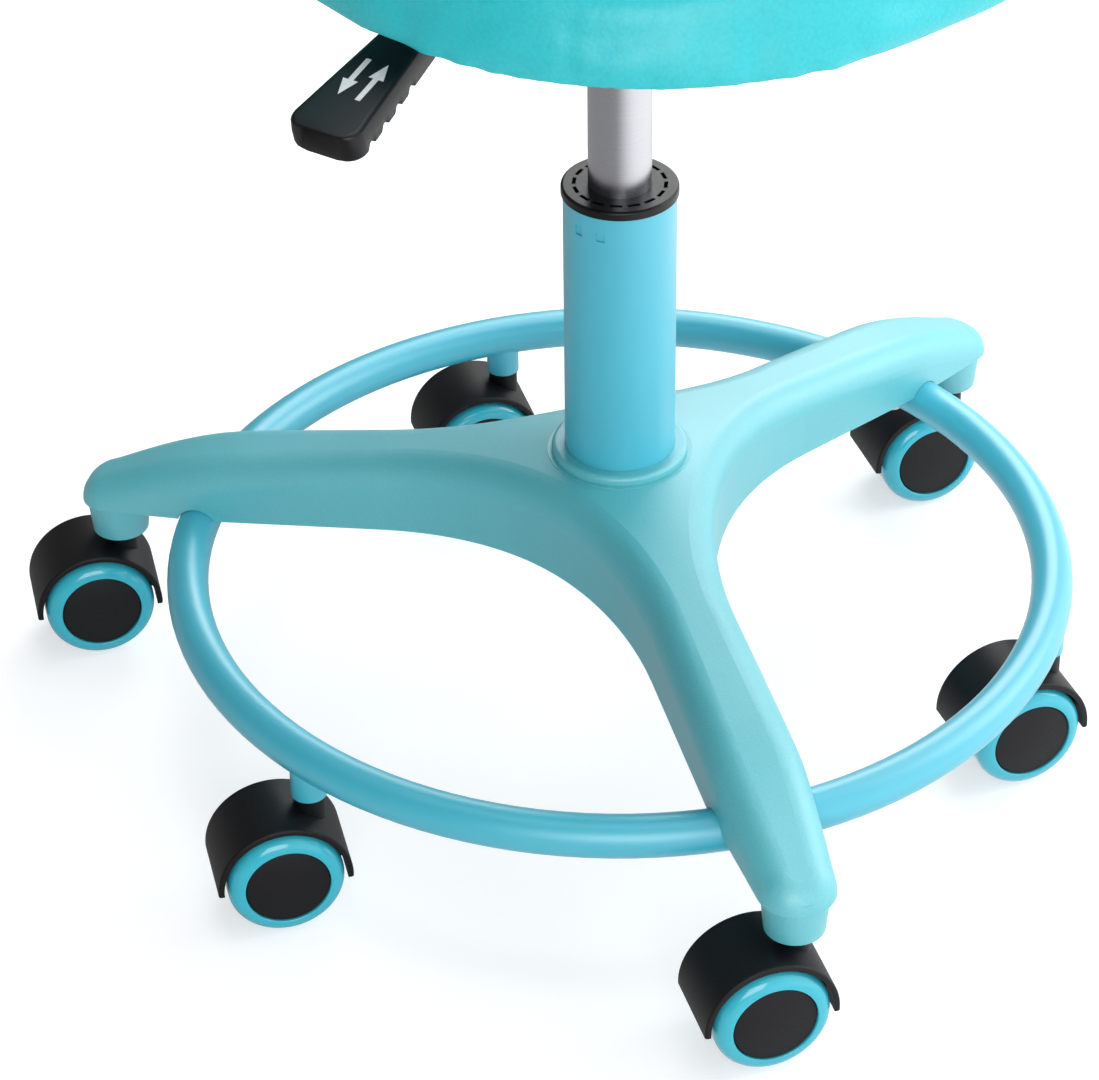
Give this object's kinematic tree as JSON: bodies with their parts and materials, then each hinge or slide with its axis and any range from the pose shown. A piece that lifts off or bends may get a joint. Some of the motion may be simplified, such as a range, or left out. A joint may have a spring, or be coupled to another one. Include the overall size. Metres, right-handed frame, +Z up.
{
  "type": "children's swivel desk chair",
  "caption": "Children's height-adjustable swivel desk chair: padded seat and back, gas lift, moulded spoke base with a foot ring on twin-wheel casters.",
  "frame": {"origin": "on the floor under the axis of the lift column", "axes": "+Z up along the column, the sitter faces -Y, +X to the sitter's left"},
  "size_m": [0.5102, 0.4816, 0.8068],
  "materials": {
    "base_nylon": "fine-grained moulded nylon, dyed turquoise",
    "turquoise_paint": "glossy turquoise powder coat on steel tube",
    "black_nylon": "satin black nylon guide bush",
    "zinc_steel": "zinc-plated fasteners and bearing steel",
    "chromed_rod": "bright ground steel",
    "black_paint": "black powder coat on steel",
    "buffer_rubber": "black rubber stop buffer",
    "plywood": "pressed beech plywood",
    "turquoise_leatherette": "pebbled turquoise leatherette over foam",
    "lever_plastic": "satin black moulding",
    "hood_plastic": "black grained caster hood",
    "hub_plastic": "black grained wheel core",
    "tyre_soft": "glossy soft turquoise tread",
    "caster_steel": "zinc-plated stem and axle"
  },
  "bodies": {
    "base": {"base_spider": "base_nylon", "foot_ring": "turquoise_paint", "ring_caster_sockets": "turquoise_paint", "ring_screws": "zinc_steel", "column_tube": "turquoise_paint", "column_bush": "black_nylon", "thrust_bearing": "zinc_steel"},
    "rod": {"piston_rod": "chromed_rod", "rod_clip": "zinc_steel", "rubber_buffer": "buffer_rubber"},
    "seat": {"gas_cylinder": "chromed_rod", "seat_plate": "black_paint", "seat_board": "plywood", "seat_cushion": "turquoise_leatherette", "seat_screws": "zinc_steel", "back_bar": "black_paint", "back_bar_screws": "zinc_steel", "back_board": "plywood", "back_cushion": "turquoise_leatherette", "back_screws": "zinc_steel"},
    "pin": {"release_pin": "chromed_rod"},
    "lever": {"lever_rod": "chromed_rod", "lever_paddle": "lever_plastic"},
    "caster_1": {"caster_1_hood": "hood_plastic", "caster_1_pins": "caster_steel"},
    "wheel_1a": {"caster_1_tyre_a": "tyre_soft", "caster_1_hub_a": "hub_plastic"},
    "wheel_1b": {"caster_1_tyre_b": "tyre_soft", "caster_1_hub_b": "hub_plastic"},
    "caster_2": {"caster_2_hood": "hood_plastic", "caster_2_pins": "caster_steel"},
    "wheel_2a": {"caster_2_tyre_a": "tyre_soft", "caster_2_hub_a": "hub_plastic"},
    "wheel_2b": {"caster_2_tyre_b": "tyre_soft", "caster_2_hub_b": "hub_plastic"},
    "caster_3": {"caster_3_hood": "hood_plastic", "caster_3_pins": "caster_steel"},
    "wheel_3a": {"caster_3_tyre_a": "tyre_soft", "caster_3_hub_a": "hub_plastic"},
    "wheel_3b": {"caster_3_tyre_b": "tyre_soft", "caster_3_hub_b": "hub_plastic"},
    "caster_4": {"caster_4_hood": "hood_plastic", "caster_4_pins": "caster_steel"},
    "wheel_4a": {"caster_4_tyre_a": "tyre_soft", "caster_4_hub_a": "hub_plastic"},
    "wheel_4b": {"caster_4_tyre_b": "tyre_soft", "caster_4_hub_b": "hub_plastic"},
    "caster_5": {"caster_5_hood": "hood_plastic", "caster_5_pins": "caster_steel"},
    "wheel_5a": {"caster_5_tyre_a": "tyre_soft", "caster_5_hub_a": "hub_plastic"},
    "wheel_5b": {"caster_5_tyre_b": "tyre_soft", "caster_5_hub_b": "hub_plastic"},
    "caster_6": {"caster_6_hood": "hood_plastic", "caster_6_pins": "caster_steel"},
    "wheel_6a": {"caster_6_tyre_a": "tyre_soft", "caster_6_hub_a": "hub_plastic"},
    "wheel_6b": {"caster_6_tyre_b": "tyre_soft", "caster_6_hub_b": "hub_plastic"}
  },
  "joints": [
    {"name": "seat_swivel", "type": "hinge", "parent": "base", "child": "rod", "pos_m": [0, 0, 0.083], "axis": [0, 0, 1], "continuous": true},
    {"name": "seat_lift", "type": "slide", "parent": "rod", "child": "seat", "axis": [0, 0, 1], "range_m": [-0.1, 0]},
    {"name": "lever_pull", "type": "hinge", "parent": "seat", "child": "lever", "pos_m": [-0.04267, -0.01428, 0.425], "axis": [-0.3173, 0.9483, 0], "range_deg": [0, 2.5], "stiffness_Nm_per_rad": 1.5},
    {"name": "pin_press", "type": "slide", "parent": "seat", "child": "pin", "axis": [0, 0, -1], "range_m": [0, 0.002]},
    {"name": "caster_1_swivel", "type": "hinge", "parent": "base", "child": "caster_1", "pos_m": [0.24301, 0.03113, 0.06], "axis": [0, 0, 1], "continuous": true},
    {"name": "wheel_1a_roll", "type": "hinge", "parent": "caster_1", "child": "wheel_1a", "pos_m": [0.22904, 0.03658, 0.026], "axis": [-0.3633, -0.9317, 0], "continuous": true},
    {"name": "wheel_1b_roll", "type": "hinge", "parent": "caster_1", "child": "wheel_1b", "pos_m": [0.22904, 0.03658, 0.026], "axis": [-0.3633, -0.9317, 0], "continuous": true},
    {"name": "caster_2_swivel", "type": "hinge", "parent": "base", "child": "caster_2", "pos_m": [-0.14847, 0.19489, 0.06], "axis": [0, 0, 1], "continuous": true},
    {"name": "wheel_2a_roll", "type": "hinge", "parent": "caster_2", "child": "wheel_2a", "pos_m": [-0.16193, 0.20151, 0.026], "axis": [-0.4415, -0.8973, 0], "continuous": true},
    {"name": "wheel_2b_roll", "type": "hinge", "parent": "caster_2", "child": "wheel_2b", "pos_m": [-0.16193, 0.20151, 0.026], "axis": [-0.4415, -0.8973, 0], "continuous": true},
    {"name": "caster_3_swivel", "type": "hinge", "parent": "base", "child": "caster_3", "pos_m": [-0.09455, -0.22602, 0.06], "axis": [0, 0, 1], "continuous": true},
    {"name": "wheel_3a_roll", "type": "hinge", "parent": "caster_3", "child": "wheel_3a", "pos_m": [-0.10841, -0.22028, 0.026], "axis": [-0.3827, -0.9239, 0], "continuous": true},
    {"name": "wheel_3b_roll", "type": "hinge", "parent": "caster_3", "child": "wheel_3b", "pos_m": [-0.10841, -0.22028, 0.026], "axis": [-0.3827, -0.9239, 0], "continuous": true},
    {"name": "caster_4_swivel", "type": "hinge", "parent": "base", "child": "caster_4", "pos_m": [0.07718, 0.18451, 0.06], "axis": [0, 0, 1], "continuous": true},
    {"name": "wheel_4a_roll", "type": "hinge", "parent": "caster_4", "child": "wheel_4a", "pos_m": [0.06337, 0.19037, 0.026], "axis": [-0.3907, -0.9205, 0], "continuous": true},
    {"name": "wheel_4b_roll", "type": "hinge", "parent": "caster_4", "child": "wheel_4b", "pos_m": [0.06337, 0.19037, 0.026], "axis": [-0.3907, -0.9205, 0], "continuous": true},
    {"name": "caster_5_swivel", "type": "hinge", "parent": "base", "child": "caster_5", "pos_m": [-0.19838, -0.02541, 0.06], "axis": [0, 0, 1], "continuous": true},
    {"name": "wheel_5a_roll", "type": "hinge", "parent": "caster_5", "child": "wheel_5a", "pos_m": [-0.21191, -0.01893, 0.026], "axis": [-0.4321, -0.9018, 0], "continuous": true},
    {"name": "wheel_5b_roll", "type": "hinge", "parent": "caster_5", "child": "wheel_5b", "pos_m": [-0.21191, -0.01893, 0.026], "axis": [-0.4321, -0.9018, 0], "continuous": true},
    {"name": "caster_6_swivel", "type": "hinge", "parent": "base", "child": "caster_6", "pos_m": [0.1212, -0.15909, 0.06], "axis": [0, 0, 1], "continuous": true},
    {"name": "wheel_6a_roll", "type": "hinge", "parent": "caster_6", "child": "wheel_6a", "pos_m": [0.107, -0.15426, 0.026], "axis": [-0.3223, -0.9466, 0], "continuous": true},
    {"name": "wheel_6b_roll", "type": "hinge", "parent": "caster_6", "child": "wheel_6b", "pos_m": [0.107, -0.15426, 0.026], "axis": [-0.3223, -0.9466, 0], "continuous": true}
  ],
  "couplings": [
    {"joint": "pin_press", "follows": "lever_pull", "m_per_rad": 0.045}
  ]
}
